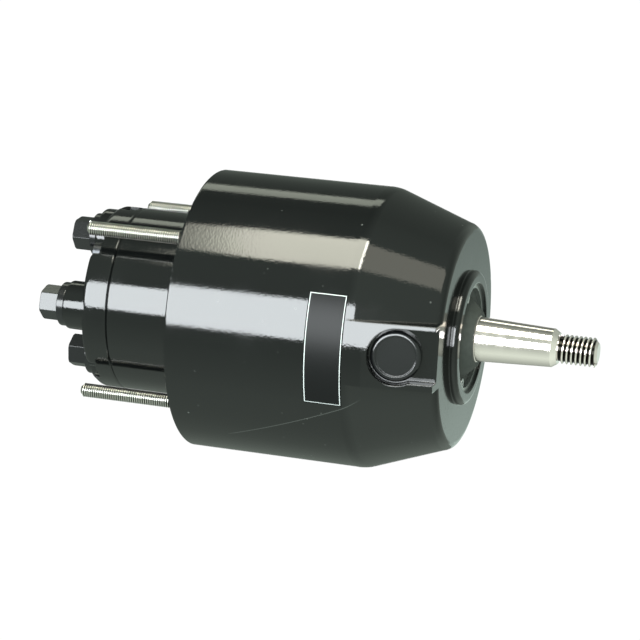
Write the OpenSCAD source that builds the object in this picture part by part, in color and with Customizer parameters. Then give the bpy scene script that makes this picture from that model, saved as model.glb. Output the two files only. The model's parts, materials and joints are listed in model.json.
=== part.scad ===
// Hydraulic helm pump: front-mounted axial-piston steering pump with lock valve
// Millimetres. The shaft points along -Y, the filler is up at +Z.
// The origin is the middle of the rear mounting shoulder.
// Inside a module, z is the distance forward from that shoulder and y is up.

/* [Housing] */
// Outside diameter of the cup
body_d = 121; // [110:0.5:130]
// Length of the round part, from the mounting shoulder to the cone
body_l = 78.3; // [72:0.1:84]
// Distance from the mounting shoulder to the front face
nose_z = 113.9; // [112:0.1:116]
// Half angle of the cone
cone_angle = 20; // [16:0.5:22]
// Wall thickness of the cup
wall = 7.5; // [6:0.1:8]
// Edge radius at the mounting shoulder
rear_edge_r = 1; // [0.5:0.25:4]
// Radius where the round part turns into the cone
cone_blend_r = 18; // [6:1:30]
// Edge radius at the front face
nose_edge_r = 4; // [1:0.25:6]
// Outside diameter of the front collar
collar_d = 57.4; // [55:0.1:60]
// Height of the front collar
collar_h = 3.2; // [3:0.1:4.6]
// Edge radius of the front collar
collar_edge_r = 2; // [1:0.25:2.5]
// Outside diameter of the hub that holds the bearing
hub_d = 72; // [68:0.5:76]

/* [Filler] */
// Distance of the filler from the mounting shoulder
filler_z = 97.4; // [96:0.1:98]
// Forward tilt of the pad and the filler
pad_tilt = 10; // [8:0.5:12]
// Width of the pad
pad_w = 27.2; // [26.6:0.1:29]
// Width of the recess in the pad
pad_recess_w = 23.4; // [22.5:0.1:24.5]
// Depth of the recess floor below the round part, at the filler
pad_sink = 9.5; // [8.9:0.1:9.9]
// Depth of the recess beside the filler, at the pad's sides
pad_depth = 5.6; // [4.8:0.1:6]
// Diameter of the filler cap
filler_cap_d = 21; // [20:0.1:22]
// Height of the filler cap
filler_cap_h = 4.4; // [3.6:0.1:5.4]
// Diameter of the filler plug's shank
filler_shank_d = 16; // [14:0.25:16.5]
// Length of the filler plug's shank
filler_shank_l = 9; // [7:0.25:12]

/* [Pump body] */
// Diameter of the round block behind the shoulder
neck_d = 80; // [78:0.5:82]
// Length of the round block
neck_l = 34; // [32:0.5:38]
// Diameter of the flange that closes the cup
flange_d = 110; // [109.5:0.1:112]
// Thickness of the flange
flange_t = 12; // [11.5:0.1:12.5]
// Circle of the flange screws
flange_screw_r = 48.9; // [48.8:0.1:49.4]

/* [End cover] */
// Thickness of the cover plate
cover_t = 12; // [11.6:0.1:14]
// Diameter of the side port bosses
side_boss_d = 24; // [21:0.5:24]
// Distance of the side ports from the shaft line
side_boss_r = 26.5; // [26:0.1:27]
// Height of the side bosses above the cover plate
side_boss_h = 6.6; // [6.2:0.1:8]
// Diameter of the top port boss
top_boss_d = 21; // [20:0.5:21.5]
// Distance of the top port from the shaft line
top_boss_r = 29.2; // [28.8:0.1:29.6]
// Height of the top boss above the cover plate
top_boss_h = 8.6; // [7.5:0.1:10]
// Circle of the cover screws
cover_screw_r = 32.5; // [32:0.1:33]
// Depth of the steps that the cover screws' heads stand on
cover_step = 4.5; // [3:0.1:5.5]

/* [Port plugs] */
// Diameter of the plug flange
plug_flange_d = 19; // [17:0.25:20]
// Thickness of the plug flange
plug_flange_t = 3.2; // [1.5:0.1:4]
// Hexagon across its flats
plug_hex = 13; // [11:0.25:14]
// Length of the hexagon
plug_hex_h = 8.7; // [6:0.1:11]
// Diameter of the plug's shank
plug_shank_d = 12; // [10:0.25:13]
// Length of the plug's shank
plug_shank_l = 8; // [6:0.25:9]

/* [Mounting studs] */
// Circle that the four studs stand on
stud_pcd = 100; // [98:0.5:101]
// Diameter of a stud at the root of its thread
stud_d = 5.2; // [4.6:0.1:6]
// Length of a stud behind the shoulder
stud_l = 45.3; // [30:0.1:70]
// Depth of a stud in the flange
stud_depth = 9; // [7:0.25:10]

/* [Shaft] */
// Large diameter of the wheel taper
taper_d = 19.05; // [18:0.05:20]
// Length of the wheel taper
taper_l = 31.9; // [28:0.1:36]
// Length of the chamfer between the taper and the thread
taper_chamfer = 2.4; // [0.5:0.1:3]
// Taper, as length for one unit of diameter
taper_ratio = 12; // [10:0.5:16]
// Diameter of the wheel nut's thread at its root
nut_thread_d = 10.4; // [10:0.1:11.6]
// Distance from the taper to the end of the wheel nut's thread
nut_thread_l = 19.1; // [16:0.1:24]
// Diameter of the shaft in the bearing
shaft_d = 20; // [19.4:0.1:20.2]
// Diameter of the shaft in the rotor
rotor_seat_d = 22; // [21:0.1:24]
// Diameter of the shaft behind the bearing
shoulder_d = 26; // [25:0.1:27]
// Diameter of the shaft's tail
tail_d = 16; // [15:0.1:17]
// Width of the wheel key
key_w = 4.75; // [4:0.05:5.5]

/* [Front bearing] */
// Outside diameter of the bearing
bearing_d = 47; // [46.6:0.1:47.4]
// Width of the bearing
bearing_w = 14; // [13.5:0.1:14.4]
// Distance of the bearing from the mounting shoulder
bearing_z = 89; // [88.6:0.1:89.4]
// Diameter of a ball
bearing_ball_d = 7.9; // [7.5:0.05:8.2]
// Number of balls
bearing_balls_n = 8; // [7:1:9]

/* [Rotor] */
// Number of pistons
pistons_n = 7; // [5:1:7]
// Diameter of a piston
piston_d = 18; // [15:0.1:18.4]
// Circle of the pistons
piston_r = 30.5; // [30:0.1:31]
// Diameter of the rotor
rotor_d = 85; // [84:0.1:86.5]
// Length of the rotor
rotor_l = 36; // [35:0.1:36.4]
// Depth of a cylinder
cylinder_depth = 30; // [28:0.1:31]
// Length of a piston
piston_l = 30; // [28:0.1:32]
// Tilt of the swash plate
swash_angle = 12; // [9:0.25:12]
// Distance from the rotor's face to the middle of the tilted race
swash_gap = 10.5; // [10.2:0.1:10.9]
// Diameter of a thrust ball
thrust_ball_d = 6; // [5.5:0.1:6.2]
// Number of thrust balls
thrust_balls_n = 14; // [10:1:18]

/* [Clearances] */
// Radial clearance of parts that run in each other
run_clear = 0.04; // [0.02:0.01:0.08]
// Gap between the rotor and the valve plate
plate_gap = 0.05; // [0.03:0.01:0.1]
// Gap between the closest piston and the tilted race
race_gap = 0.3; // [0.1:0.05:0.4]

/* [Hidden] */
$fn = 72;
e = 0.02;
body_r = body_d / 2;
neck_r = neck_d / 2;
flange_r = flange_d / 2;
cavity_r = body_r - wall;
nose_r = body_r - (nose_z - body_l) * tan(cone_angle);
pad_floor = body_r - pad_sink;
pad_skin = body_r - 0.1;
recess_step = 1.4;
pad_top = norm([pad_floor + pad_depth, pad_w / 2]);
pad_bend = filler_z - (pad_skin - pad_top) / tan(pad_tilt);
pad_end_r = pad_top - (nose_z - filler_z) * tan(pad_tilt);
hub_r = hub_d / 2;
collar_r = collar_d / 2;
bore_r = bearing_d / 2;
shaft_r = shaft_d / 2;
rotor_r = rotor_d / 2;
piston_rad = piston_d / 2;
rim_z = nose_z + collar_h;
cover_z = -neck_l - cover_t;
front_wall = 8;
stud_r = stud_pcd / 2;
stud_root_d = stud_d + 0.8;
flange_seal_r = min(0.8, (flange_r - stud_r - stud_root_d / 2 - 0.1) / 2);
flange_seal_z = 5;
hex_r = plug_hex / 2 / cos(30);

// Stack of the drive, from the flange forward
plate_t = 3;
plate_r = 40;
rotor_z = flange_t + plate_t + plate_gap;
rotor_end = rotor_z + rotor_l;
swash_z = rotor_end + swash_gap;
race_t = 3.2;
race_out = 42;
race_in = 21;
ball_path_r = 32;
thrust_ball_r = thrust_ball_d / 2;
thrust_groove_r = thrust_ball_r + run_clear;
thrust_z = race_t + thrust_ball_r - 1;
race_top = thrust_z + thrust_ball_r - 1;
wedge_z = race_top + race_t;
swash_r = race_out + 1;
swash_back = swash_z + swash_r * sin(swash_angle) + wedge_z * cos(swash_angle) + 2.4;
piston_nose_r = 12;
piston_tip = swash_z - piston_r * tan(swash_angle) + piston_nose_r * (1 - 1 / cos(swash_angle)) - race_gap;
piston_rear = piston_tip - piston_l;
piston_bore_d = 12;
rotor_key_w = 6;
swash_screw_r = 29;
cylinder_z = rotor_end - cylinder_depth;
hollow_depth = piston_l - 6;

// Stack of the front bearing and its seals
bearing_end = bearing_z + bearing_w;
circlip_t = 1.2;
seal_z = bearing_end + circlip_t + 0.4;
seal_t = 8.3;
cap_z = seal_z + seal_t;
cap_t = 1.1;
ring_z = cap_z + cap_t;
ring_t = 1.7;
ring_groove_r = bore_r + 1.2;
ball_pitch_r = (shaft_r + bore_r) / 2;
race_gap_r = 2.4;
bearing_ball_r = bearing_ball_d / 2;

taper_z = 119.9;
taper_end = taper_z + taper_l;
thread_end = taper_end + nut_thread_l;
taper_tip_d = taper_d - taper_l / taper_ratio;
thread_from = taper_end + taper_chamfer;

// Lock valve across the cover plate
valve_z = -neck_l - cover_t / 2;
valve_r = 4;
valve_plug_r = 5;
seat_x = 18.5;
seat_w = 3.5;
poppet_l = 7;
valve_plug_x = 33;
valve_plug_end = sqrt(neck_r * neck_r - valve_plug_r * valve_plug_r) - 0.6;
spool_l = 25;
gallery_x = 16;
gallery_r = 2.5;
vent_r = 3;
cover_ring_r = 21;
cover_step_r = 9;
joint_chamfer = 0.6;

// Helpers

// Turns the shaft's working direction to -Y, with y up
module along_shaft() {
  rotate([90, 0, 0]) children();
}

// The tilted frame of the swash plate
module tilted() {
  translate([0, 0, swash_z]) rotate([swash_angle, 0, 0]) children();
}

// Copies round the shaft
module around(n, r, first = 0) {
  for (i = [0:n - 1]) rotate([0, 0, first + i * 360 / n]) translate([r, 0, 0]) children();
}

// A ring with square section
module ring(r1, r2, z1, z2) {
  rotate_extrude() translate([r1, z1]) square([r2 - r1, z2 - z1]);
}

// A torus
module torus(r, sec, z) {
  rotate_extrude() translate([r, z]) circle(sec);
}

// A round post whose far edge is rounded
module post(r, h, edge) {
  rotate_extrude() {
    square([r - edge, h]);
    square([r, h - edge]);
    translate([r - edge, h - edge]) circle(edge);
  }
}

// What must be cut from the corner p between a and b to leave a radius
module corner_cut(a, p, b, r, over = 0) {
  u = (a - p) / norm(a - p);
  v = (b - p) / norm(b - p);
  half = acos(u * v) / 2;
  t = r / tan(half);
  m = (u + v) / norm(u + v);
  c = p + m * r / sin(half);
  n1 = (u * (u * v) - v) / sin(2 * half);
  n2 = (v * (u * v) - u) / sin(2 * half);
  difference() {
    polygon([c, p + u * t, p + u * t + n1 * 2, p - m * 3, p + v * t + n2 * 2, p + v * t]);
    translate(c) circle(r + over);
  }
}

// A coil spring along z
module coil(r, wire, len, turns, steps = 9, sides = 5) {
  n = turns * steps;
  pitch = (len - 2 * wire) / turns;
  pts = [for (i = [0:n]) for (j = [0:sides - 1])
    let (t = 360 * i / steps, s = 360 * j / sides, q = r + wire * cos(s))
    [q * cos(t), q * sin(t), wire + pitch * i / steps + wire * sin(s)]];
  quads = [for (i = [0:n - 1]) for (j = [0:sides - 1])
    let (a = i * sides + j, b = i * sides + (j + 1) % sides)
    [a, b, b + sides, a + sides]];
  first = [for (j = [0:sides - 1]) sides - 1 - j];
  last = [for (j = [0:sides - 1]) n * sides + j];
  polyhedron(pts, concat([for (q = quads) [q[3], q[2], q[1], q[0]]], [last, first]), convexity = 8);
}

// A socket-head screw, its head's seat at z = 0 and its shank along +z
module cap_screw(d, l) {
  difference() {
    union() {
      cylinder(d = d, h = l);
      translate([0, 0, -d]) cylinder(r = d * 0.85, h = d);
    }
    translate([0, 0, -d - 1]) cylinder(d = d * 0.92, h = d * 0.5 + 1, $fn = 6);
  }
}

// A countersunk screw, its head's top at z = 0 and its shank along +z
module sunk_screw(d, l) {
  difference() {
    union() {
      cylinder(d = d, h = l);
      cylinder(d1 = d * 1.9, d2 = d, h = d * 0.45);
    }
    translate([0, 0, -1]) cylinder(d = d * 0.68, h = d * 0.4 + 1, $fn = 6);
  }
}

// The cylinder block's ring of pistons, with the first at the bottom
module each_piston() {
  around(pistons_n, piston_r, -90) children();
}

// Housing: cast cup with a cone, a collar and the filler pad
module cup_profile() {
  p0 = [0, 0];
  p1 = [body_r, 0];
  p2 = [body_r, body_l];
  p3 = [nose_r, nose_z];
  p4 = [0, nose_z];
  difference() {
    polygon([p0, p1, p2, p3, p4]);
    corner_cut(p0, p1, p2, rear_edge_r);
    corner_cut(p1, p2, p3, cone_blend_r, 0.02);
    corner_cut(p2, p3, p4, nose_edge_r);
  }
}

module cup_hollow() {
  slope = tan(cone_angle);
  end_z = nose_z - front_wall;
  end_r = cavity_r - (end_z - body_l) * slope;
  rotate_extrude() polygon([
    [0, flange_t - e], [cavity_r, flange_t - e], [cavity_r, body_l], [end_r, end_z],
    [hub_r, end_z], [hub_r, swash_back], [0, swash_back]
  ]);
}

// The filler's own frame: y up along the plug, z forward along the pad
module at_filler() {
  translate([0, pad_floor, filler_z]) rotate([pad_tilt, 0, 0]) children();
}

module filler_pad() {
  intersection() {
    rotate_extrude() polygon([
      [0, pad_bend - 16], [pad_skin, pad_bend - 16], [pad_skin, pad_bend], [pad_end_r, nose_z], [0, nose_z]
    ]);
    translate([-pad_w / 2, pad_floor - 10, 0]) cube([pad_w, 40, nose_z + 10]);
  }
}

module filler_recess() {
  at_filler() rotate([-90, 0, 0]) cylinder(d = pad_recess_w, h = 20);
  at_filler() translate([recess_step - pad_recess_w / 2, 0, 0]) cube([pad_recess_w - recess_step, 20, 40]);
}

module housing() {
  color("#26292a") along_shaft() difference() {
    union() {
      difference() {
        union() {
          rotate_extrude() cup_profile();
          translate([0, 0, nose_z - 1]) post(collar_r, collar_h + 1, collar_edge_r);
          filler_pad();
        }
        cup_hollow();
      }
      around(4, flange_screw_r) translate([0, 0, flange_t]) {
        cylinder(r = 4.5, h = 20);
        translate([0, -4.5, 0]) cube([cavity_r + 1 - flange_screw_r, 9, 20]);
      }
    }
    translate([0, 0, -1]) cylinder(r = flange_r, h = flange_t + 1);
    translate([0, 0, bearing_z]) cylinder(r = bore_r, h = 60);
    translate([0, 0, swash_back - 1]) cylinder(r = bore_r - 4.5, h = 20);
    translate([0, 0, ring_z]) cylinder(r = ring_groove_r, h = ring_t);
    filler_recess();
    at_filler() translate([0, -12, 0]) rotate([-90, 0, 0]) cylinder(d = filler_shank_d, h = 14);
    around(4, flange_screw_r) translate([0, 0, flange_t - 1]) cylinder(d = 5, h = 16);
    around(2, swash_screw_r) translate([0, 0, swash_back - 1]) cylinder(d = 5, h = 12);
  }
}

// Pump body: flange in the cup's rim and round block behind it
module pump_body() {
  color("#26292a") along_shaft() difference() {
    union() {
      cylinder(r = flange_r, h = flange_t);
      translate([0, 0, joint_chamfer - neck_l]) cylinder(r = neck_r, h = neck_l - joint_chamfer + 1);
      translate([0, 0, -neck_l]) cylinder(r1 = neck_r - joint_chamfer, r2 = neck_r, h = joint_chamfer);
    }
    ring(flange_r - 2 * flange_seal_r, flange_r + 1, flange_seal_z - flange_seal_r, flange_seal_z + flange_seal_r);
    translate([0, 0, -27]) cylinder(r = tail_d / 2 + 1.5, h = 60);
    translate([0, 0, -23]) cylinder(r = tail_d / 2 + 3, h = 21);
    for (s = [-1, 1]) {
      translate([s * gallery_x, 0, -neck_l - 1]) cylinder(r = gallery_r, h = neck_l + flange_t - 1);
      translate([s > 0 ? gallery_x - 2.5 : -piston_r - 4, -3, flange_t - 4])
        cube([piston_r + 6.5 - gallery_x, 6, 5]);
    }
    translate([0, top_boss_r, -neck_l - 1]) cylinder(r = vent_r, h = neck_l + flange_t - 2);
    translate([-vent_r, top_boss_r - vent_r, flange_t - 4]) cube([2 * vent_r, plate_r + 3 - top_boss_r + vent_r, 5]);
    ring(cover_ring_r - 1.2, cover_ring_r + 1.2, -neck_l - 1, -neck_l + 2.4);
    translate([0, top_boss_r, 0]) ring(3.6, 5.6, -neck_l - 1, -neck_l + 1.9);
    around(4, stud_r, 45) translate([0, 0, -1]) cylinder(d = stud_root_d, h = stud_depth + 1);
    around(4, flange_screw_r) translate([0, 0, -1]) cylinder(d = 5, h = flange_t + 2);
    around(4, flange_screw_r) translate([0, 0, -e]) cylinder(d1 = 9.7, d2 = 5.02, h = 2.34);
    around(4, cover_screw_r, 45) translate([0, 0, -neck_l - 1]) cylinder(d = 5, h = 15);
    translate([0, -22, flange_t - 5]) cylinder(d = 4, h = 6);
  }
}

// End cover: plate with the lock valve and three port bosses
module end_cover() {
  color("#232627") along_shaft() difference() {
    union() {
      translate([0, 0, -neck_l - joint_chamfer]) mirror([0, 0, 1]) post(neck_r, cover_t - joint_chamfer, 3);
      translate([0, 0, -neck_l - joint_chamfer])
        cylinder(r1 = neck_r, r2 = neck_r - joint_chamfer, h = joint_chamfer);
      for (s = [-1, 1])
        translate([s * side_boss_r, 0, cover_z + 4]) mirror([0, 0, 1])
          post(side_boss_d / 2, side_boss_h + 4, 2.2);
      translate([0, top_boss_r, -neck_l - 4]) mirror([0, 0, 1])
        post(top_boss_d / 2, cover_t - 4 + top_boss_h, 1.2);
    }
    translate([-60, 0, valve_z]) rotate([0, 90, 0]) cylinder(r = valve_r, h = 120);
    for (s = [0, 180]) rotate([0, 0, s]) {
      translate([valve_plug_x, 0, valve_z]) rotate([0, 90, 0]) cylinder(r = valve_plug_r, h = 20);
      translate([gallery_x, 0, valve_z]) cylinder(r = gallery_r, h = 20);
      translate([side_boss_r, 0, valve_z - 20]) cylinder(r = 3, h = 20);
      translate([side_boss_r, 0, cover_z - side_boss_h - 1]) cylinder(d = plug_shank_d, h = plug_shank_l + 2);
      translate([side_boss_r, 0, cover_z - side_boss_h - 1]) cylinder(r = plug_shank_d / 2 + 1.8, h = 2.8);
    }
    translate([0, top_boss_r, -neck_l - 40]) cylinder(r = vent_r, h = 41);
    translate([0, top_boss_r, cover_z - top_boss_h - 1]) cylinder(d = plug_shank_d, h = plug_shank_l + 2);
    translate([0, top_boss_r, cover_z - top_boss_h - 1]) cylinder(r = plug_shank_d / 2 + 1.8, h = 2.8);
    around(4, cover_screw_r, 45) translate([0, 0, -neck_l - 40]) cylinder(d = 5, h = 41);
    around(4, cover_screw_r, 45) translate([0, 0, cover_z - 20]) cylinder(r = cover_step_r, h = 20 + cover_step);
  }
}

// Seal ring round the flange
module flange_seal() {
  color("#161616") along_shaft() torus(flange_r - flange_seal_r, flange_seal_r, flange_seal_z);
}

// Seal rings between the block and the cover
module cover_seals() {
  color("#161616") along_shaft() {
    torus(cover_ring_r, 1.2, -neck_l + 1.2);
    translate([0, top_boss_r, 0]) torus(4.6, 0.95, -neck_l + 0.95);
  }
}

// Four studs that hold the pump to the dash
module mounting_studs() {
  color("#b9b494") along_shaft() around(4, stud_r, 45) {
    cylinder(d = stud_root_d, h = stud_depth);
    translate([0, 0, -stud_l + 1.2]) cylinder(d = stud_d, h = stud_l - 1.2 + e);
    translate([0, 0, -stud_l]) cylinder(d1 = stud_d - 1.8, d2 = stud_d, h = 1.2 + e);
  }
}

// Countersunk screws that hold the flange in the cup
module flange_screws() {
  color("#8d9092") along_shaft() around(4, flange_screw_r) sunk_screw(5, flange_t + 14);
}

// Socket-head screws that hold the cover
module cover_screws() {
  color("#3a3d3f") along_shaft() around(4, cover_screw_r, 45)
    translate([0, 0, cover_z + cover_step]) cap_screw(5, cover_t - cover_step + 13);
}

// A hexagon port plug on its boss face, pointing to -z
module hex_plug(turn) {
  mirror([0, 0, 1]) {
    post(plug_flange_d / 2, plug_flange_t, 0.5);
    intersection() {
      rotate([0, 0, turn]) cylinder(r = hex_r, h = plug_flange_t + plug_hex_h, $fn = 6);
      cylinder(r1 = hex_r + plug_flange_t + plug_hex_h - 0.5, r2 = hex_r - 0.5, h = plug_flange_t + plug_hex_h);
    }
  }
  cylinder(d = plug_shank_d, h = plug_shank_l);
}

module port_plug_left() {
  color("#1b1d1e") along_shaft() translate([-side_boss_r, 0, cover_z - side_boss_h]) hex_plug(6);
}

module port_plug_right() {
  color("#1b1d1e") along_shaft() translate([side_boss_r, 0, cover_z - side_boss_h]) hex_plug(38);
}

module balance_plug() {
  color("#1b1d1e") along_shaft() translate([0, top_boss_r, cover_z - top_boss_h]) hex_plug(48);
}

// Seal rings under the three port plugs
module port_seals() {
  color("#161616") along_shaft() {
    for (s = [-1, 1])
      translate([s * side_boss_r, 0, cover_z - side_boss_h]) torus(plug_shank_d / 2 + 0.9, 0.9, 0.9);
    translate([0, top_boss_r, cover_z - top_boss_h]) torus(plug_shank_d / 2 + 0.9, 0.9, 0.9);
  }
}

// Ball groove shared by both races of the front bearing
module bearing_groove() {
  torus(ball_pitch_r, bearing_ball_r + run_clear, bearing_z + bearing_w / 2);
}

module bearing_outer_race() {
  color("#c9ccce") along_shaft() difference() {
    ring(ball_pitch_r + race_gap_r, bore_r, bearing_z, bearing_end);
    bearing_groove();
  }
}

module bearing_inner_race() {
  color("#c9ccce") along_shaft() difference() {
    ring(shaft_r, ball_pitch_r - race_gap_r, bearing_z, bearing_end);
    bearing_groove();
  }
}

module bearing_balls() {
  color("#dfe1e2") along_shaft() translate([0, 0, bearing_z + bearing_w / 2])
    around(bearing_balls_n, ball_pitch_r) sphere(bearing_ball_r);
}

module bearing_cage() {
  color("#a98a52") along_shaft() translate([0, 0, bearing_z + bearing_w / 2]) difference() {
    ring(ball_pitch_r - 1.2, ball_pitch_r + 1.2, -5, 5);
    around(bearing_balls_n, ball_pitch_r - 4) rotate([0, 90, 0]) cylinder(r = bearing_ball_r + run_clear, h = 8);
  }
}

// Oil seal: steel case with a lip on the shaft
module shaft_seal() {
  color("#33291f") along_shaft() rotate_extrude() polygon([
    [bore_r, seal_z], [bore_r, cap_z], [shaft_r + 3, cap_z], [shaft_r + run_clear, cap_z - 1.5],
    [shaft_r + run_clear, cap_z - 4], [shaft_r + 2.5, cap_z - 4.5], [shaft_r + 3, cap_z - 2],
    [bore_r - 2, cap_z - 2], [bore_r - 2, seal_z]
  ]);
}

// Internal retaining ring with two eyes
module retaining_ring() {
  gap_from = 28;
  gap_to = 152;
  ends = [gap_from, gap_to];
  color("#8b8e90") along_shaft() translate([0, 0, ring_z]) linear_extrude(ring_t) difference() {
    union() {
      difference() {
        circle(ring_groove_r);
        circle(bore_r - 2.2);
        polygon([[0, 0], for (a = [gap_from:15.5:gap_to]) 40 * [cos(a), sin(a)]]);
      }
      rotate(ends[0]) translate([bore_r - 3.4, -1.6]) circle(2.3);
      rotate(ends[1]) translate([bore_r - 3.4, 1.6]) circle(2.3);
    }
    rotate(ends[0]) translate([bore_r - 3.6, -1.6]) circle(1);
    rotate(ends[1]) translate([bore_r - 3.6, 1.6]) circle(1);
  }
}

// Domed cap that keeps dirt off the seal
module dust_cap() {
  lip = shaft_r + run_clear;
  flat_r = bore_r - 6.2;
  top_z = taper_z - 0.2;
  color("#2c302f") along_shaft() rotate_extrude() polygon([
    [bore_r, cap_z], [bore_r, cap_z + cap_t], [flat_r, cap_z + cap_t], [lip + 1.8, top_z], [lip, top_z],
    [lip, top_z - 2], [lip + 1.2, top_z - 2.2], [flat_r - 1.6, cap_z]
  ]);
}

// Swash plate: wedge that sets the tilt
module swash_plate() {
  color("#9a9c9b") along_shaft() difference() {
    union() {
      difference() {
        translate([0, 0, swash_z - 10]) cylinder(r = swash_r, h = swash_back - swash_z + 10);
        tilted() translate([0, 0, wedge_z - 60]) cylinder(r = 90, h = 60);
      }
      tilted() translate([0, 0, race_top + 0.4]) cylinder(r = race_in, h = wedge_z - race_top + 2);
    }
    translate([0, 0, swash_z - 20]) cylinder(r = shoulder_d / 2 + 2.5, h = 60);
    around(2, swash_screw_r) translate([0, 0, swash_back - 30]) cylinder(d = 5, h = 40);
    around(2, swash_screw_r) translate([0, 0, swash_back - 35]) cylinder(r = 4.25, h = 30);
  }
}

// Screws that hold the swash plate to the hub
module swash_screws() {
  color("#6f7274") along_shaft() around(2, swash_screw_r) translate([0, 0, swash_back - 5]) cap_screw(5, 16);
}

module thrust_fixed_race() {
  color("#c9ccce") along_shaft() tilted() difference() {
    ring(race_in, race_out, race_top, wedge_z);
    torus(ball_path_r, thrust_groove_r, thrust_z);
  }
}

module thrust_moving_race() {
  color("#c9ccce") along_shaft() tilted() difference() {
    ring(race_in, race_out, 0, race_t);
    torus(ball_path_r, thrust_groove_r, thrust_z);
  }
}

module thrust_balls() {
  color("#dfe1e2") along_shaft() tilted() translate([0, 0, thrust_z])
    around(thrust_balls_n, ball_path_r) sphere(thrust_ball_r);
}

module thrust_cage() {
  color("#a98a52") along_shaft() tilted() difference() {
    ring(ball_path_r - 5, ball_path_r + 5, thrust_z - 0.8, thrust_z + 0.8);
    translate([0, 0, thrust_z]) around(thrust_balls_n, ball_path_r) sphere(thrust_ball_r + run_clear);
  }
}

// Valve plate with two kidney ports
module kidney(side) {
  difference() {
    ring(piston_r - 3.5, piston_r + 3.5, flange_t - 1, flange_t + plate_t + 1);
    translate([side > 0 ? -80 : 0, -50, 0]) cube([80, 100, 60]);
    for (a = [0, 180]) rotate([0, 0, a]) translate([-50, piston_r * 0.72, 0]) cube([100, 60, 60]);
  }
}

module valve_plate() {
  color("#b08d57") along_shaft() difference() {
    ring(tail_d / 2 + 4, plate_r, flange_t, flange_t + plate_t);
    kidney(1);
    kidney(-1);
    translate([0, -22, flange_t - 1]) cylinder(d = 4, h = 3.4);
  }
}

// Pin that keeps the valve plate from turning
module valve_plate_pin() {
  color("#c9ccce") along_shaft() translate([0, -22, flange_t - 5]) cylinder(d = 4, h = 7.4);
}

// Bush that carries the shaft's tail
module rear_bush() {
  color("#b08d57") along_shaft() ring(tail_d / 2 + run_clear, tail_d / 2 + 3, -23, -2);
}

// Shaft with its taper, thread, bearing seat, shoulder, rotor seat and tail
module steering_shaft() {
  neck = 1.2;
  groove_r = shaft_r - 0.6;
  color("#d5d8d9") along_shaft() difference() {
    rotate_extrude() polygon([
      [0, -24], [tail_d / 2 - 1, -24], [tail_d / 2, -23], [tail_d / 2, flange_t + 1],
      [rotor_seat_d / 2, flange_t + 1], [rotor_seat_d / 2, rotor_end + 0.1],
      [shoulder_d / 2, rotor_end + 0.1], [shoulder_d / 2, bearing_z], [shaft_r, bearing_z],
      [shaft_r, bearing_end], [groove_r, bearing_end], [groove_r, bearing_end + circlip_t],
      [shaft_r, bearing_end + circlip_t], [shaft_r, taper_z - 0.3], [taper_d / 2, taper_z],
      [taper_tip_d / 2, taper_end], [taper_tip_d / 2 - taper_chamfer * 0.65, thread_from],
      [nut_thread_d / 2, thread_from], [nut_thread_d / 2, thread_end - neck],
      [nut_thread_d / 2 - neck, thread_end], [0, thread_end]
    ]);
    wheel_key_form();
    rotor_key_form();
  }
}

// Half-round key in the taper, on the underside
module wheel_key_form() {
  key_z = taper_z + taper_l / 2;
  top = taper_d / 2 - taper_l / taper_ratio / 4 + 2.1;
  difference() {
    translate([-key_w / 2, -top - 0.5, key_z]) rotate([0, 90, 0]) cylinder(r = 8, h = key_w);
    translate([-10, -top - 20, key_z - 20]) cube([20, 20, 40]);
  }
}

module wheel_key() {
  color("#9da0a2") along_shaft() wheel_key_form();
}

// Key that drives the rotor
module rotor_key_form() {
  translate([-rotor_key_w / 2, rotor_seat_d / 2 - 3, rotor_z + 6]) cube([rotor_key_w, 6, rotor_l - 12]);
}

module rotor_key() {
  color("#9da0a2") along_shaft() rotor_key_form();
}

module rotor() {
  color("#7f8486") along_shaft() difference() {
    ring(rotor_seat_d / 2, rotor_r, rotor_z, rotor_end);
    each_piston() translate([0, 0, cylinder_z]) cylinder(r = piston_rad + run_clear, h = cylinder_depth + 1);
    each_piston() translate([0, 0, rotor_z - 1]) cylinder(r = 3.5, h = cylinder_depth);
    translate([-rotor_key_w / 2, 0, rotor_z + 6]) cube([rotor_key_w, rotor_seat_d / 2 + 3, 60]);
  }
}

// Hollow pistons, each with a domed nose
module pistons() {
  color("#d0d3d4") along_shaft() each_piston() difference() {
    intersection() {
      translate([0, 0, piston_rear]) cylinder(r = piston_rad, h = piston_l);
      union() {
        translate([0, 0, piston_tip - piston_nose_r]) sphere(piston_nose_r);
        translate([0, 0, piston_rear - 1]) cylinder(r = 20, h = piston_l - piston_nose_r + 1);
      }
    }
    translate([0, 0, piston_rear - 1]) cylinder(d = piston_bore_d, h = hollow_depth + 1);
  }
}

// Springs that push the pistons out
module piston_springs() {
  len = piston_rear + hollow_depth - cylinder_z - 0.1;
  color("#b4b7b9") along_shaft() each_piston() translate([0, 0, cylinder_z + 0.05]) coil(4.9, 0.65, len, 8);
}

// Ring that keeps the bearing on the shaft
module shaft_circlip() {
  color("#8b8e90") along_shaft() difference() {
    ring(shaft_r - 0.6, shaft_r + 2.6, bearing_end, bearing_end + circlip_t);
    translate([-2, 0, bearing_end - 1]) cube([4, 20, 5]);
  }
}

// Filler plug with a plain cap
module filler_plug() {
  color("#1f2122") along_shaft() at_filler() rotate([-90, 0, 0]) difference() {
    union() {
      post(filler_cap_d / 2, filler_cap_h, 1.6);
      translate([0, 0, -filler_shank_l]) cylinder(d = filler_shank_d - 2 * run_clear, h = filler_shank_l + 1);
    }
    ring(filler_shank_d / 2 - run_clear, filler_shank_d / 2 + 1.4, -1, 1.5);
    translate([0, 0, filler_cap_h - 0.7]) cylinder(d = filler_cap_d - 4.4, h = 2);
  }
}

module filler_seal() {
  color("#161616") along_shaft() at_filler() rotate([-90, 0, 0]) torus(filler_shank_d / 2 + 0.72, 0.66, 0.75);
}

// Places a lock valve piece that is drawn along +z, out to one side
module valve_side(side) {
  translate([0, 0, valve_z]) rotate([0, side * 90, 0]) children();
}

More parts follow.
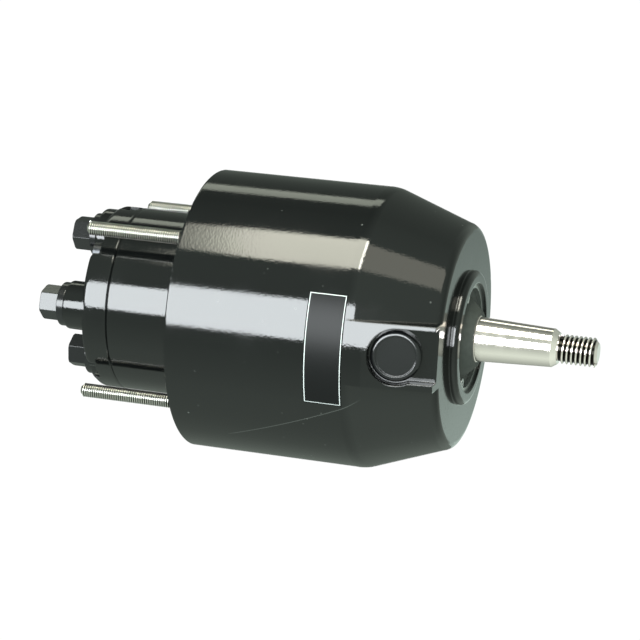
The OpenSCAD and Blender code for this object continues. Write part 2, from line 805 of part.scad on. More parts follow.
// Spool that opens the far check valve
module lock_spool() {
  nose_l = seat_x + 1.5 - spool_l / 2;
  color("#c2c5c6") along_shaft() translate([0, 0, valve_z]) rotate([0, 90, 0]) {
    difference() {
      translate([0, 0, -spool_l / 2]) cylinder(r = valve_r - run_clear, h = spool_l);
      for (z = [-6, 0, 6]) ring(valve_r - 0.6, valve_r + 1, z - 0.5, z + 0.5);
    }
    translate([0, 0, -spool_l / 2 - nose_l]) cylinder(r = 1.2, h = spool_l + 2 * nose_l);
  }
}

// Seats of the two check valves
module lock_valve_seats() {
  color("#b08d57") along_shaft() for (side = [-1, 1]) valve_side(side) difference() {
    translate([0, 0, seat_x]) cylinder(r = valve_r, h = seat_w);
    translate([0, 0, seat_x - 1]) cylinder(r = 2, h = seat_w + 2);
    translate([0, 0, seat_x + seat_w - 1]) cylinder(r1 = 2, r2 = 3 + e, h = 1 + e);
  }
}

// Check valve poppet with flow slots and a spring pocket
module poppet() {
  back = seat_x + seat_w;
  lift = run_clear * sqrt(2);
  difference() {
    union() {
      translate([0, 0, back - 1.4 + lift]) cylinder(r1 = 1.6, r2 = 3, h = 1.4);
      translate([0, 0, back + lift - e]) cylinder(r = 3, h = 1.2);
      translate([0, 0, back + 1.1]) cylinder(r = valve_r - run_clear, h = poppet_l - 1);
    }
    for (a = [0:90:270]) rotate([0, 0, a]) translate([2.9, -1, back + 0.5]) cube([4, 2, 20]);
    translate([0, 0, back + 3.1]) cylinder(r = 2.5, h = 20);
  }
}

module check_poppet_left() {
  color("#c2c5c6") along_shaft() valve_side(-1) poppet();
}

module check_poppet_right() {
  color("#c2c5c6") along_shaft() valve_side(1) poppet();
}

// Springs that close the check valves
module check_spring() {
  from = seat_x + seat_w + 3.15;
  translate([0, 0, from]) coil(1.9, 0.4, valve_plug_x - from - 0.05, 5);
}

module check_spring_left() {
  color("#b4b7b9") along_shaft() valve_side(-1) check_spring();
}

module check_spring_right() {
  color("#b4b7b9") along_shaft() valve_side(1) check_spring();
}

// Screw plugs that close the lock valve bore
module lock_valve_plugs() {
  color("#3a3d3f") along_shaft() for (side = [-1, 1]) valve_side(side) difference() {
    translate([0, 0, valve_plug_x]) cylinder(r = valve_plug_r, h = valve_plug_end - valve_plug_x);
    translate([0, 0, valve_plug_end - 3]) cylinder(d = 5.8, h = 6, $fn = 6);
  }
}

housing();
pump_body();
end_cover();
flange_seal();
cover_seals();
mounting_studs();
flange_screws();
cover_screws();
port_plug_left();
port_plug_right();
balance_plug();
port_seals();
bearing_outer_race();
shaft_seal();
retaining_ring();
dust_cap();
swash_plate();
swash_screws();
thrust_fixed_race();
valve_plate();
valve_plate_pin();
rear_bush();
lock_valve_seats();
lock_valve_plugs();
steering_shaft();
wheel_key();
bearing_inner_race();
rotor();
rotor_key();
pistons();
piston_springs();
shaft_circlip();
bearing_balls();
bearing_cage();
thrust_moving_race();
thrust_balls();
thrust_cage();
filler_plug();
filler_seal();
lock_spool();
check_poppet_left();
check_poppet_right();
check_spring_left();
check_spring_right();
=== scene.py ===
"""Looks of a hydraulic helm pump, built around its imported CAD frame. Metres, +Z up, shaft along -Y."""
import json
import math

import bpy
from mathutils import Matrix, Vector


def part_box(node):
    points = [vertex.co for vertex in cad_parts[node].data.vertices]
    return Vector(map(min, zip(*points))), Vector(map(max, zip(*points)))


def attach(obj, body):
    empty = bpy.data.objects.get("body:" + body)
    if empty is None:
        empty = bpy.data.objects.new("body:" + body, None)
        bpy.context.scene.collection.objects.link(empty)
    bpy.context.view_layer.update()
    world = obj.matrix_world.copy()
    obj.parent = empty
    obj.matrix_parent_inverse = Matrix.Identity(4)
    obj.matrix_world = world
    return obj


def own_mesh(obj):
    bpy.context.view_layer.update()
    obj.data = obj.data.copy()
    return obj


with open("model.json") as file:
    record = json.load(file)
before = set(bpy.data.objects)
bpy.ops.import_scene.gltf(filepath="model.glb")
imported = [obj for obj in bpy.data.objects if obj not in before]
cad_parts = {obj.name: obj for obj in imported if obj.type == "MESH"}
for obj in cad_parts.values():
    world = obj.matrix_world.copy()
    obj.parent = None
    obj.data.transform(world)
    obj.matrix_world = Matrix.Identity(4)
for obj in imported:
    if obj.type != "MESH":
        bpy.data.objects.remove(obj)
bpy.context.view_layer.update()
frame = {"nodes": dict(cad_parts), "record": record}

# Camera: a long lens looking down on the pump's side from above, its right-hand side up in the picture.
# The place and lens come from fitting the round body, the studs and the shaft's end to the photo.
camera = bpy.data.objects.new("camera", bpy.data.cameras.new("camera"))
bpy.context.scene.collection.objects.link(camera)
right = Vector((0.05925, -0.95361, -0.29519))
up = Vector((0.97907, 0.11320, -0.16917))
back = Vector((0.19474, -0.27898, 0.94035))
turn = Matrix((right, up, back)).transposed().to_4x4()
camera.matrix_world = Matrix.Translation((0.19635, -0.33039, 0.94796)) @ turn
camera.data.lens = 131.47
camera.data.sensor_width = 36
camera.data.clip_end = 50
bpy.context.scene.camera = camera

# Cup, pump body and end cover: cast aluminium, machined at the joints, then sprayed gloss black.
# The coat lies in a very fine orange peel, pulls thin round the edges and holds dust and a rub.


def colour(code):
    """Linear colour with alpha from an sRGB code such as #1b2c3d."""
    parts = [int(code[i:i + 2], 16) / 255 for i in (1, 3, 5)]
    return [p / 12.92 if p <= 0.04045 else ((p + 0.055) / 1.055) ** 2.4 for p in parts] + [1]


def add(tree, kind, links=(), values=(), **settings):
    """Adds a node with its settings, its own socket values and links from other nodes' sockets."""
    made = tree.nodes.new(kind)
    for name, value in settings.items():
        setattr(made, name, value)
    for socket, value in dict(values).items():
        made.inputs[socket].default_value = value
    for socket, source in dict(links).items():
        tree.links.new(source, made.inputs[socket])
    return made


def material(name, base, rough, metal=0.0, edge=0.0004, ior=None):
    """A material whose normal is softened over the edges of a piece, and its shader node."""
    made = bpy.data.materials.new(name)
    made.use_nodes = True
    tree = made.node_tree
    shader = tree.nodes["Principled BSDF"]
    shader.inputs["Base Color"].default_value = colour(base)
    shader.inputs["Roughness"].default_value = rough
    shader.inputs["Metallic"].default_value = metal
    if ior:
        shader.inputs["IOR"].default_value = ior
    bevel = add(tree, "ShaderNodeBevel", values={"Radius": edge}, samples=6)
    tree.links.new(bevel.outputs["Normal"], shader.inputs["Normal"])
    return made, tree, shader, bevel


def noise(tree, per_metre, detail=2.0, stretch=(1, 1, 1)):
    """Noise in object coordinates: per_metre blobs to the metre, drawn out along an axis by stretch."""
    place = add(tree, "ShaderNodeTexCoord")
    scale = add(tree, "ShaderNodeMapping", {"Vector": place.outputs["Object"]}, {"Scale": stretch})
    return add(tree, "ShaderNodeTexNoise", {"Vector": scale.outputs["Vector"]},
               {"Scale": per_metre, "Detail": detail})


def ramp(tree, source, low, high, a, b):
    """Takes a value from the range low..high to the range a..b and stops there."""
    made = add(tree, "ShaderNodeMapRange", {"Value": source}, clamp=True)
    for socket, value in zip(("From Min", "From Max", "To Min", "To Max"), (low, high, a, b)):
        made.inputs[socket].default_value = value
    return made.outputs["Result"]


def two_tone(tree, factor, *tones):
    """Goes from one tone to another by a factor. A tone is an sRGB code or another node's colour."""
    made = add(tree, "ShaderNodeMix", {"Factor": factor}, data_type="RGBA")
    for socket, tone in zip((6, 7), tones):
        if isinstance(tone, str):
            made.inputs[socket].default_value = colour(tone)
        else:
            tree.links.new(tone, made.inputs[socket])
    return made.outputs[2]


def bump(tree, shader, height, distance, strength, bevel):
    """Raises the surface by a height pattern, on top of the softened edges."""
    made = add(tree, "ShaderNodeBump", {"Height": height, "Normal": bevel.outputs["Normal"]},
               {"Distance": distance, "Strength": strength})
    tree.links.new(made.outputs["Normal"], shader.inputs["Normal"])


def paint(nodes, made):
    """Gives CAD nodes one material."""
    for name in nodes:
        piece = frame["nodes"][name]
        piece.data.materials.clear()
        piece.data.materials.append(made)


enamel_black, peel_per_metre, peel_height = "#060707", 1050, 0.000034
rub_plane, rub_offset = (-0.7461, -0.4299, -0.5085), 0.02309
rub_ends = (("Y", -0.085, -0.079), ("Y", -0.023, -0.028), ("Z", 0.03, 0.036))
enamel, tree, shader, bevel = material("gloss_black_enamel", enamel_black, 0.07, edge=0.0008, ior=1.5)
peel = noise(tree, peel_per_metre, 3.0)
bump(tree, shader, peel.outputs["Fac"], peel_height, 0.7, bevel)
place = add(tree, "ShaderNodeTexCoord")
motes = add(tree, "ShaderNodeTexVoronoi", {"Vector": place.outputs["Object"]}, {"Scale": 190})
fleck = ramp(tree, motes.outputs["Distance"], 0.05, 0.10, 1.0, 0.0)
some = ramp(tree, noise(tree, 60, 2.0).outputs["Fac"], 0.52, 0.66, 0.0, 0.5)
dust = add(tree, "ShaderNodeMath", {0: fleck, 1: some}, operation="MULTIPLY")
across = add(tree, "ShaderNodeVectorMath", {0: place.outputs["Object"]}, {1: rub_plane},
             operation="DOT_PRODUCT")
aside = add(tree, "ShaderNodeMath", {0: across.outputs["Value"]}, {1: rub_offset}, operation="SUBTRACT")
apart = add(tree, "ShaderNodeMath", {0: aside.outputs[0]}, operation="ABSOLUTE")
axes = add(tree, "ShaderNodeSeparateXYZ", {"Vector": place.outputs["Object"]})
marks = ramp(tree, apart.outputs[0], 0.0001, 0.0003, 0.22, 0.0)
for axis, low, high in rub_ends:
    within = ramp(tree, axes.outputs[axis], low, high, 0.0, 1.0)
    marks = add(tree, "ShaderNodeMath", {0: marks, 1: within}, operation="MULTIPLY").outputs[0]
soil = add(tree, "ShaderNodeMath", {0: dust.outputs[0], 1: marks}, operation="MAXIMUM")
coat = two_tone(tree, soil.outputs[0], enamel_black, "#5c605c")
tree.links.new(coat, shader.inputs["Base Color"])
handled = ramp(tree, noise(tree, 35, 4.0).outputs["Fac"], 0.45, 0.75, 0.05, 0.14)
tree.links.new(handled, shader.inputs["Roughness"])
paint(["housing", "pump_body", "end_cover"], enamel)

# Port plugs: three hexagon plugs moulded in black nylon that keep dirt out of the ports until piping.
# The moulding has a soft gloss with a faint flow grain.
nylon, tree, shader, bevel = material("moulded_black_nylon", "#0a0b0c", 0.18, edge=0.0005)
bump(tree, shader, noise(tree, 260, 3.0).outputs["Fac"], 0.00003, 0.4, bevel)
paint(["port_plug_left", "port_plug_right", "balance_plug"], nylon)

# Filler plug: black acetal cap with a rounded rim and a sunk disc, screwed into the cup's high point.
# It sits on a seal ring. Its disc is bare, with the turned gloss of the moulding tool.
acetal, tree, shader, bevel = material("black_acetal", "#0b0c0d", 0.12, edge=0.0005)
bump(tree, shader, noise(tree, 500, 2.0).outputs["Fac"], 0.00002, 0.4, bevel)
paint(["filler_plug"], acetal)

# Seals: nitrile rubber rings under the flange, the cover, the plugs and the filler, and the shaft's lip seal.
# The rubber is matt, with a trace of moulding release.
rubber, tree, shader, bevel = material("nitrile_rubber", "#111212", 0.5, edge=0.0004)
bloom = ramp(tree, noise(tree, 180, 4.0).outputs["Fac"], 0.4, 0.7, 0.38, 0.62)
tree.links.new(bloom, shader.inputs["Roughness"])
paint(["flange_seal", "cover_seals", "port_seals", "shaft_seal", "filler_seal"], rubber)

# Dust cap: a moulded rubber boot in the collar that sheds spray from the lip seal.
# It is greyer than the seals, with the dust of storage on it.
boot, tree, shader, bevel = material("dusty_rubber_boot", "#2a2e2b", 0.6, edge=0.0004)
dusty = two_tone(tree, noise(tree, 420, 4.0).outputs["Fac"], "#232724", "#373c38")
tree.links.new(dusty, shader.inputs["Base Color"])
paint(["dust_cap"], boot)

# Mounting studs: four M6 studs of pale-yellow chromated zinc-plated steel, screwed into the flange.
# The core is the CAD solid, and one tree of geometry nodes winds the ridges; painted shade and some dirt
# darken the roots.
stud_circle, stud_root, stud_ridge, stud_pitch = 0.050, 0.0026, 0.00042, 0.001
stud_dirt_and_shade_from, stud_dirt_and_shade_to = 0.00274, 0.00298
zinc, tree, shader, bevel = material("yellow_zinc_plate", "#d0cdc2", 0.26, 1.0, edge=0.00004)
tint = two_tone(tree, noise(tree, 140, 3.0).outputs["Fac"], "#f0efe9", "#d8d6cb")
place = add(tree, "ShaderNodeTexCoord")
across = add(tree, "ShaderNodeVectorMath", {0: place.outputs["Object"]}, operation="ABSOLUTE")
spot = (stud_circle * math.sqrt(0.5), 0, stud_circle * math.sqrt(0.5))
from_axis = add(tree, "ShaderNodeVectorMath", {0: across.outputs["Vector"]}, {1: spot},
                operation="SUBTRACT")
sides = add(tree, "ShaderNodeVectorMath", {0: from_axis.outputs["Vector"]}, {1: (1, 0, 1)},
            operation="MULTIPLY")
reach = add(tree, "ShaderNodeVectorMath", {0: sides.outputs["Vector"]}, operation="LENGTH")
# Painted shade with some dirt: colour near the stud's core, in the thread roots, is darkened towards #100f0d,
# except at the stud's end.
deep = ramp(tree, reach.outputs["Value"], stud_dirt_and_shade_from, stud_dirt_and_shade_to, 1.0, 0.0)
low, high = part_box("mounting_studs")
axes = add(tree, "ShaderNodeSeparateXYZ", {"Vector": place.outputs["Object"]})
short = ramp(tree, axes.outputs["Y"], high.y - 0.0009, high.y - 0.0005, 1.0, 0.0)
dirt_and_shade = add(tree, "ShaderNodeMath", {0: deep, 1: short}, operation="MULTIPLY")
plate = two_tone(tree, dirt_and_shade.outputs[0], tint, "#100f0d")
tree.links.new(plate, shader.inputs["Base Color"])
paint(["mounting_studs"], zinc)


def thread_tree(name):
    """Geometry nodes: a wound ridge of triangular section, set out on a circle of points."""
    tree = bpy.data.node_groups.new(name, "GeometryNodeTree")
    face = tree.interface
    face.new_socket("Geometry", in_out="OUTPUT", socket_type="NodeSocketGeometry")
    for label, kind in (("Root radius", "Float"), ("Depth", "Float"), ("Pitch", "Float"), ("Length", "Float"),
                        ("Circle", "Float"), ("Count", "Int"), ("Start", "Vector"), ("Material", "Material")):
        face.new_socket(label, in_out="INPUT", socket_type="NodeSocket" + kind)
    given = tree.nodes.new("NodeGroupInput").outputs
    turns = add(tree, "ShaderNodeMath", {0: given["Length"], 1: given["Pitch"]}, operation="DIVIDE")
    spiral = add(tree, "GeometryNodeCurveSpiral", {
        "Rotations": turns.outputs[0], "Start Radius": given["Root radius"],
        "End Radius": given["Root radius"], "Height": given["Length"]}, {"Resolution": 36})
    level = add(tree, "GeometryNodeSetCurveNormal", {"Curve": spiral.outputs["Curve"]}, mode="Z_UP")
    half = add(tree, "ShaderNodeMath", {0: given["Pitch"]}, {1: 0.46}, operation="MULTIPLY")
    under = add(tree, "ShaderNodeMath", {0: half.outputs[0]}, {1: -1.0}, operation="MULTIPLY")
    flat = add(tree, "ShaderNodeMath", {0: given["Pitch"]}, {1: 0.07}, operation="MULTIPLY")
    flat_under = add(tree, "ShaderNodeMath", {0: flat.outputs[0]}, {1: -1.0}, operation="MULTIPLY")
    crest = add(tree, "ShaderNodeMath", {0: given["Depth"]}, {1: -1.0}, operation="MULTIPLY")
    corners = []
    for x, y in ((None, under), (crest, flat_under), (crest, flat), (None, half)):
        corner = add(tree, "ShaderNodeCombineXYZ", {"Y": y.outputs[0]}, {"X": 0.0001})
        if x:
            tree.links.new(x.outputs[0], corner.inputs["X"])
        corners.append(corner.outputs["Vector"])
    section = add(tree, "GeometryNodeCurvePrimitiveQuadrilateral", mode="POINTS",
                  links={f"Point {i + 1}": c for i, c in enumerate(corners)})
    ridge = add(tree, "GeometryNodeCurveToMesh", {
        "Curve": level.outputs["Curve"], "Profile Curve": section.outputs["Curve"]}, {"Fill Caps": True})
    lying = add(tree, "GeometryNodeTransform", {"Geometry": ridge.outputs["Mesh"]},
                {"Rotation": (math.pi / 2, 0, 0)})
    moved = add(tree, "GeometryNodeTransform", {
        "Geometry": lying.outputs["Geometry"], "Translation": given["Start"]})
    share = add(tree, "ShaderNodeMath", {0: tree.nodes.new("GeometryNodeInputIndex").outputs[0],
                                        1: given["Count"]}, operation="DIVIDE")
    bearing = add(tree, "ShaderNodeMath", {0: share.outputs[0]}, {1: math.tau, 2: math.pi / 4},
                  operation="MULTIPLY_ADD")
    spot = add(tree, "ShaderNodeCombineXYZ")
    for axis, wave in (("X", "COSINE"), ("Z", "SINE")):
        part = add(tree, "ShaderNodeMath", {0: bearing.outputs[0]}, operation=wave)
        reach = add(tree, "ShaderNodeMath", {0: part.outputs[0], 1: given["Circle"]}, operation="MULTIPLY")
        tree.links.new(reach.outputs[0], spot.inputs[axis])
    spots = add(tree, "GeometryNodePoints", {"Count": given["Count"], "Position": spot.outputs["Vector"]})
    placed = add(tree, "GeometryNodeInstanceOnPoints", {
        "Points": spots.outputs[0], "Instance": moved.outputs["Geometry"]})
    real = add(tree, "GeometryNodeRealizeInstances", {"Geometry": placed.outputs["Instances"]})
    done = add(tree, "GeometryNodeSetMaterial", {
        "Geometry": real.outputs["Geometry"], "Material": given["Material"]})
    tree.links.new(done.outputs["Geometry"], tree.nodes.new("NodeGroupOutput").inputs["Geometry"])
    return tree


def grown(name, tree, values, body):
    """A plain mesh piece made by a geometry-node tree with these named inputs."""
    host = bpy.data.objects.new(name + "_host", bpy.data.meshes.new(name + "_host"))
    bpy.context.scene.collection.objects.link(host)
    grower = host.modifiers.new("grow", "NODES")
    grower.node_group = tree
    for item in tree.interface.items_tree:
        if item.in_out == "INPUT" and item.name in values:
            grower[item.identifier] = values[item.name]
    bpy.context.view_layer.update()
    mesh = bpy.data.meshes.new_from_object(host.evaluated_get(bpy.context.evaluated_depsgraph_get()))
    mesh.name = name
    bpy.data.objects.remove(host)
    piece = bpy.data.objects.new(name, mesh)
    bpy.context.scene.collection.objects.link(piece)
    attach(piece, body)
    return piece


ridge_tree = thread_tree("wound_thread")
grown("stud_threads", ridge_tree, {
    "Root radius": stud_root, "Depth": stud_ridge, "Pitch": stud_pitch, "Length": high.y - 0.0012,
    "Circle": stud_circle, "Count": 4, "Start": (0, high.y - 0.0007, 0), "Material": zinc},
    "helm_body")

# Screws: black-oxide socket and countersunk screws that hold the cover, the flange and the swash plate.
# The oxide is dark and a little oily, worn brighter where a key has been.
oxide, tree, shader, bevel = material("black_oxide_steel", "#3a3b3d", 0.34, 1.0, edge=0.0003)
worn = ramp(tree, noise(tree, 300, 3.0).outputs["Fac"], 0.4, 0.7, 0.26, 0.44)
tree.links.new(worn, shader.inputs["Roughness"])
paint(["flange_screws", "cover_screws", "swash_screws", "lock_valve_plugs"], oxide)

# Retaining ring and small hardware: phosphated spring steel, blanked from strip.
# The phosphate is a fine grey crystal with a dull sheen.
phosphate, tree, shader, bevel = material("phosphated_steel", "#c4c7c6", 0.32, 1.0, edge=0.0002)
grain = noise(tree, 900, 3.0)
bump(tree, shader, grain.outputs["Fac"], 0.00002, 0.5, bevel)
paint(["retaining_ring", "shaft_circlip", "wheel_key", "rotor_key", "valve_plate_pin"], phosphate)

# Steering shaft: stainless bar, turned with a 1:12 wheel taper and polished, with a thread for the nut.
# Polishing leaves fine rings round it, and painted shade and some dirt darken the roots of the thread, wound
# by the studs' tree.
steel_tone, thread_reach = "#fbf0ec", 0.0167
nut_root, nut_ridge, nut_pitch, nut_length = 0.0052, 0.00105, 0.00195, 0.0148
stainless, tree, shader, bevel = material("polished_stainless", steel_tone, 0.11, 1.0, edge=0.00008)
rings = noise(tree, 160, 4.0, (1, 18, 1))
bump(tree, shader, rings.outputs["Fac"], 0.00001, 0.35, bevel)
sheen = ramp(tree, noise(tree, 55, 3.0, (1, 6, 1)).outputs["Fac"], 0.35, 0.7, 0.07, 0.17)
tree.links.new(sheen, shader.inputs["Roughness"])
place = add(tree, "ShaderNodeTexCoord")
axes = add(tree, "ShaderNodeSeparateXYZ", {"Vector": place.outputs["Object"]})
flat = add(tree, "ShaderNodeCombineXYZ", {"X": axes.outputs["X"], "Z": axes.outputs["Z"]})
reach = add(tree, "ShaderNodeVectorMath", {0: flat.outputs["Vector"]}, operation="LENGTH")
low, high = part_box("steering_shaft")
thread_from = low.y + thread_reach
# Painted shade with some dirt: colour near the nut thread's root radius is darkened towards #1c1b18, only
# along the threaded length.
deep = ramp(tree, reach.outputs["Value"], nut_root + 0.0002, nut_root + 0.0008, 1.0, 0.0)
threaded = ramp(tree, axes.outputs["Y"], thread_from, thread_from - 0.0004, 0.0, 1.0)
short = ramp(tree, axes.outputs["Y"], low.y + 0.0008, low.y + 0.0012, 0.0, 1.0)
root = add(tree, "ShaderNodeMath", {0: deep, 1: threaded}, operation="MULTIPLY")
dirt_and_shade = add(tree, "ShaderNodeMath", {0: root.outputs[0], 1: short}, operation="MULTIPLY")
steel = two_tone(tree, dirt_and_shade.outputs[0], steel_tone, "#1c1b18")
tree.links.new(steel, shader.inputs["Base Color"])
paint(["steering_shaft"], stainless)
grown("wheel_nut_thread", ridge_tree, {
    "Root radius": nut_root, "Depth": nut_ridge, "Pitch": nut_pitch, "Length": nut_length, "Circle": 0.0,
    "Count": 1, "Start": (0, thread_from - 0.0009, 0), "Material": stainless}, "drive")

# Bearings: rings, balls and washers of hardened chromium steel, ground bright.
# Grinding leaves a very fine grain.
ground, tree, shader, bevel = material("ground_bearing_steel", "#d2d4d5", 0.16, 1.0, edge=0.0003)
bump(tree, shader, noise(tree, 700, 2.0).outputs["Fac"], 0.00001, 0.3, bevel)
slots = {row["node"]: row["material_slot"] for row in frame["record"]["subparts"]}
paint([n for n in slots if slots[n] == "bearing_steel"], ground)

# Springs: hard-drawn wire, coiled cold and oiled.
# The die's marks run along the wire. In the helm the two check springs close up against their end plugs
# as the poppets open; here each one is only given a mesh of its own.
wire, tree, shader, bevel = material("drawn_spring_wire", "#b0b2b4", 0.28, 1.0, edge=0.0001)
bump(tree, shader, noise(tree, 1500, 2.0).outputs["Fac"], 0.00001, 0.4, bevel)
paint([n for n in slots if slots[n] == "spring_steel"], wire)
for side, end in (("left", 0), ("right", 1)):
    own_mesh(frame["nodes"]["check_spring_" + side])

# Valve plate, bush and cages: leaded bronze, turned and lapped.
# Turning leaves a slight change of tone.
bronze, tree, shader, bevel = material("turned_bronze", "#b08a4e", 0.25, 1.0, edge=0.0003)
tone = two_tone(tree, noise(tree, 120, 3.0).outputs["Fac"], "#b8925a", "#9c7740")
tree.links.new(tone, shader.inputs["Base Color"])
paint([n for n in slots if slots[n] == "bronze"], bronze)

# Rotor and swash plate: grey iron, bored and milled, kept in oil.
# The flake graphite gives a dark, fine-grained metal.
iron, tree, shader, bevel = material("machined_grey_iron", "#7d8083", 0.36, 1.0, edge=0.0004)
bump(tree, shader, noise(tree, 800, 4.0).outputs["Fac"], 0.00003, 0.4, bevel)
paint([n for n in slots if slots[n] == "iron"], iron)

# Bare aluminium pieces inside: machined from bar and left as cut.
# The cutter's fine lines break the shine.
bare, tree, shader, bevel = material("machined_aluminium", "#c3c5c6", 0.3, 1.0, edge=0.0004)
bump(tree, shader, noise(tree, 600, 3.0).outputs["Fac"], 0.00002, 0.4, bevel)
paint([n for n in slots if slots[n] == "bare_aluminium"], bare)

# Label plate: thin black film with a fine light line near its edge, rolled on to the round body by the filler.
# It is bare inside the line. Its sheet follows the body's round and the first of the cone's blend.
film_black, line_inset, line_half = "#0b0c0c", 0.0006, 0.00014
body_r, body_length, blend_r, half_slope = 0.0605, 0.0783, 0.018, math.radians(10)
blend_from = body_length - blend_r * math.tan(half_slope)
label_from, label_to, label_half = 0.0607, 0.0770, math.radians(22.5)
label_thick = 0.00015
steps_a, steps_t = 24, 48
verts, faces = [], []
for layer in (0.0, label_thick):
    for i in range(steps_a + 1):
        a = label_from + (label_to - label_from) * i / steps_a
        drop = blend_r - math.sqrt(blend_r ** 2 - max(a - blend_from, 0) ** 2)
        for j in range(steps_t + 1):
            t = label_half * (2 * j / steps_t - 1)
            r = body_r - drop + layer
            verts.append((r * math.sin(t), -a, r * math.cos(t)))
row = steps_t + 1
sheet = row * (steps_a + 1)
for i in range(steps_a):
    for j in range(steps_t):
        k = i * row + j
        faces.append((sheet + k, sheet + k + row, sheet + k + row + 1, sheet + k + 1))
        faces.append((k, k + 1, k + row + 1, k + row))
rim = list(range(row)) + [i * row + steps_t for i in range(1, steps_a + 1)]
rim += [steps_a * row + j for j in range(steps_t - 1, -1, -1)]
rim += [i * row for i in range(steps_a - 1, 0, -1)]
for k, m in zip(rim, rim[1:] + rim[:1]):
    faces.append((k, sheet + k, sheet + m, m))
mesh = bpy.data.meshes.new("label_plate")
mesh.from_pydata(verts, [], faces)
mesh.update()
field = mesh.uv_layers.new(name="plate")
wide = label_half * body_r * 2
for loop in mesh.loops:
    x, y, z = verts[loop.vertex_index]
    field.data[loop.index].uv = (math.atan2(x, z) * body_r + wide / 2, -y - label_from)
for face in mesh.polygons:
    face.use_smooth = True
label = bpy.data.objects.new("label_plate", mesh)
bpy.context.scene.collection.objects.link(label)
film, tree, shader, bevel = material("black_label_film", film_black, 0.35, edge=0.00005)
shader.inputs["Specular IOR Level"].default_value = 0.12
place = add(tree, "ShaderNodeUVMap", uv_map="plate")
axes = add(tree, "ShaderNodeSeparateXYZ", {"Vector": place.outputs["UV"]})
inset = []
for axis, size in (("X", wide), ("Y", label_to - label_from)):
    middle = add(tree, "ShaderNodeMath", {0: axes.outputs[axis]}, {1: size / 2}, operation="SUBTRACT")
    off = add(tree, "ShaderNodeMath", {0: middle.outputs[0]}, operation="ABSOLUTE")
    inset.append(add(tree, "ShaderNodeMath", {1: off.outputs[0]}, {0: size / 2}, operation="SUBTRACT"))
edge = add(tree, "ShaderNodeMath", {0: inset[0].outputs[0], 1: inset[1].outputs[0]}, operation="MINIMUM")
line = add(tree, "ShaderNodeMath", {0: edge.outputs[0]}, {1: line_inset}, operation="SUBTRACT")
away = add(tree, "ShaderNodeMath", {0: line.outputs[0]}, operation="ABSOLUTE")
inked = ramp(tree, away.outputs[0], line_half, line_half * 1.5, 1.0, 0.0)
ink = two_tone(tree, inked, film_black, "#9aa09e")
tree.links.new(ink, shader.inputs["Base Color"])
mesh.materials.append(film)
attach(label, "helm_body")

# Floor: a long white card far under the pump, lit evenly, that fills the picture behind it.
# It is no wider than the picture needs, so the paint's edges mirror the dim room beside it and stay dark.
card_left, card_right, card_level = -2.3, 0.05, -5
card_front, card_split, card_rear = -1.45, 0.3, 2.6


def card_mesh(name, near, far):
    """A level card, from one place along Y to another."""
    made = bpy.data.meshes.new(name)
    corners = ((card_left, near), (card_right, near), (card_right, far), (card_left, far))
    made.from_pydata([(x, y, card_level) for x, y in corners], [], [(0, 1, 2, 3)])
    return made


mesh = card_mesh("white_card", card_split, card_rear)
floor = bpy.data.objects.new("white_card", mesh)
bpy.context.scene.collection.objects.link(floor)
white, tree, shader, bevel = material("lit_white_card", "#202020", 0.9)
shader.inputs["Emission Color"].default_value = (1, 1, 1, 1)
shader.inputs["Emission Strength"].default_value = 1.0
mesh.materials.append(white)

# Front card: the same card nearer the lens, where the light falls off towards the right-hand side.
# Only the pump's front face mirrors it, so its tone is the face's tone.
mesh = card_mesh("front_card", card_front, card_split)
apron = bpy.data.objects.new("front_card", mesh)
bpy.context.scene.collection.objects.link(apron)
shaded, tree, shader, bevel = material("shaded_white_card", "#202020", 0.9)
place = add(tree, "ShaderNodeTexCoord")
axes = add(tree, "ShaderNodeSeparateXYZ", {"Vector": place.outputs["Object"]})
shader.inputs["Emission Color"].default_value = colour("#e6fbf0")
tree.links.new(ramp(tree, axes.outputs["X"], -1.4, -0.75, 1.1, 0.53), shader.inputs["Emission Strength"])
mesh.materials.append(shaded)

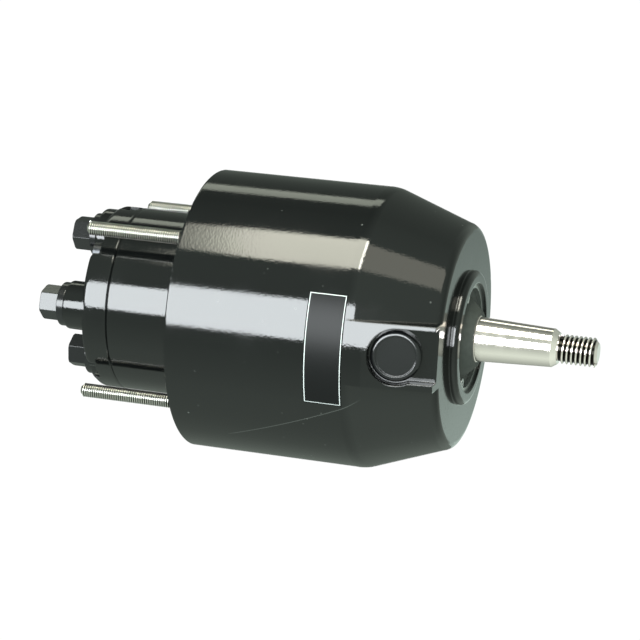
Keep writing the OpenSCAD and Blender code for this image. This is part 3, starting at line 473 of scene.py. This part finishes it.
# Light: a long cool softbox overhead, and a warm one low on the right-hand side that fades at its ends
# and has one bright edge. A dim strip stands beyond it. The room is pale green-grey above, darker at
# the horizon, and lighter in front and on the left-hand side.
world = bpy.data.worlds.new("pale_room")
bpy.context.scene.world = world
world.use_nodes = True
tree = world.node_tree
way = add(tree, "ShaderNodeSeparateXYZ", {"Vector": add(tree, "ShaderNodeTexCoord").outputs["Generated"]})
above = ramp(tree, way.outputs["Z"], -0.35, 0.5, 0.22, 0.62)
beside = ramp(tree, way.outputs["X"], -0.3, -0.9, 0.0, 0.35)
before = ramp(tree, way.outputs["Y"], 0.1, -0.25, 0.0, 0.3)
sides = add(tree, "ShaderNodeMath", {0: beside, 1: before}, operation="ADD")
room = add(tree, "ShaderNodeMath", {0: above, 1: sides.outputs[0]}, operation="ADD")
tree.links.new(room.outputs[0], tree.nodes["Background"].inputs["Strength"])
tree.nodes["Background"].inputs["Color"].default_value = colour("#e2f2e4")


def softbox(name, angle, distance, wide, along, radiance, tone):
    """An area light, turned from straight up towards +X, between two places along Y, facing the pump."""
    lamp = bpy.data.lights.new(name, "AREA")
    lamp.shape = "RECTANGLE"
    lamp.size, lamp.size_y = wide, along[1] - along[0]
    lamp.energy = radiance * math.pi * lamp.size * lamp.size_y
    lamp.color = colour(tone)[:3]
    made = bpy.data.objects.new(name, lamp)
    bpy.context.scene.collection.objects.link(made)
    t = math.radians(angle)
    place = Vector((math.sin(t) * distance, sum(along) / 2, math.cos(t) * distance))
    made.matrix_world = Matrix.Translation(place) @ Matrix.Rotation(t, 4, "Y")
    return made


softbox("overhead_softbox", 10.2, 1.0, 0.56, (-0.44, 1.9), 17.0, "#f6fcff")
softbox("side_softbox", 68, 1.2, 0.56, (-0.30, 0.37), 12.5, "#fffeec")
softbox("side_softbox_end", 68, 1.2, 0.50, (0.37, 0.425), 5.0, "#fffeec")
softbox("side_softbox_spill", 68, 1.2, 0.50, (-0.95, -0.28), 2.3, "#fffae8")
softbox("side_softbox_edge", 68, 1.19, 0.54, (-0.30, -0.21), 19.0, "#fffdf2")
softbox("rim_strip", 126, 1.2, 0.21, (-0.03, 1.0), 2.3, "#f4fbe8")

bpy.context.scene.view_settings.view_transform = "Standard"
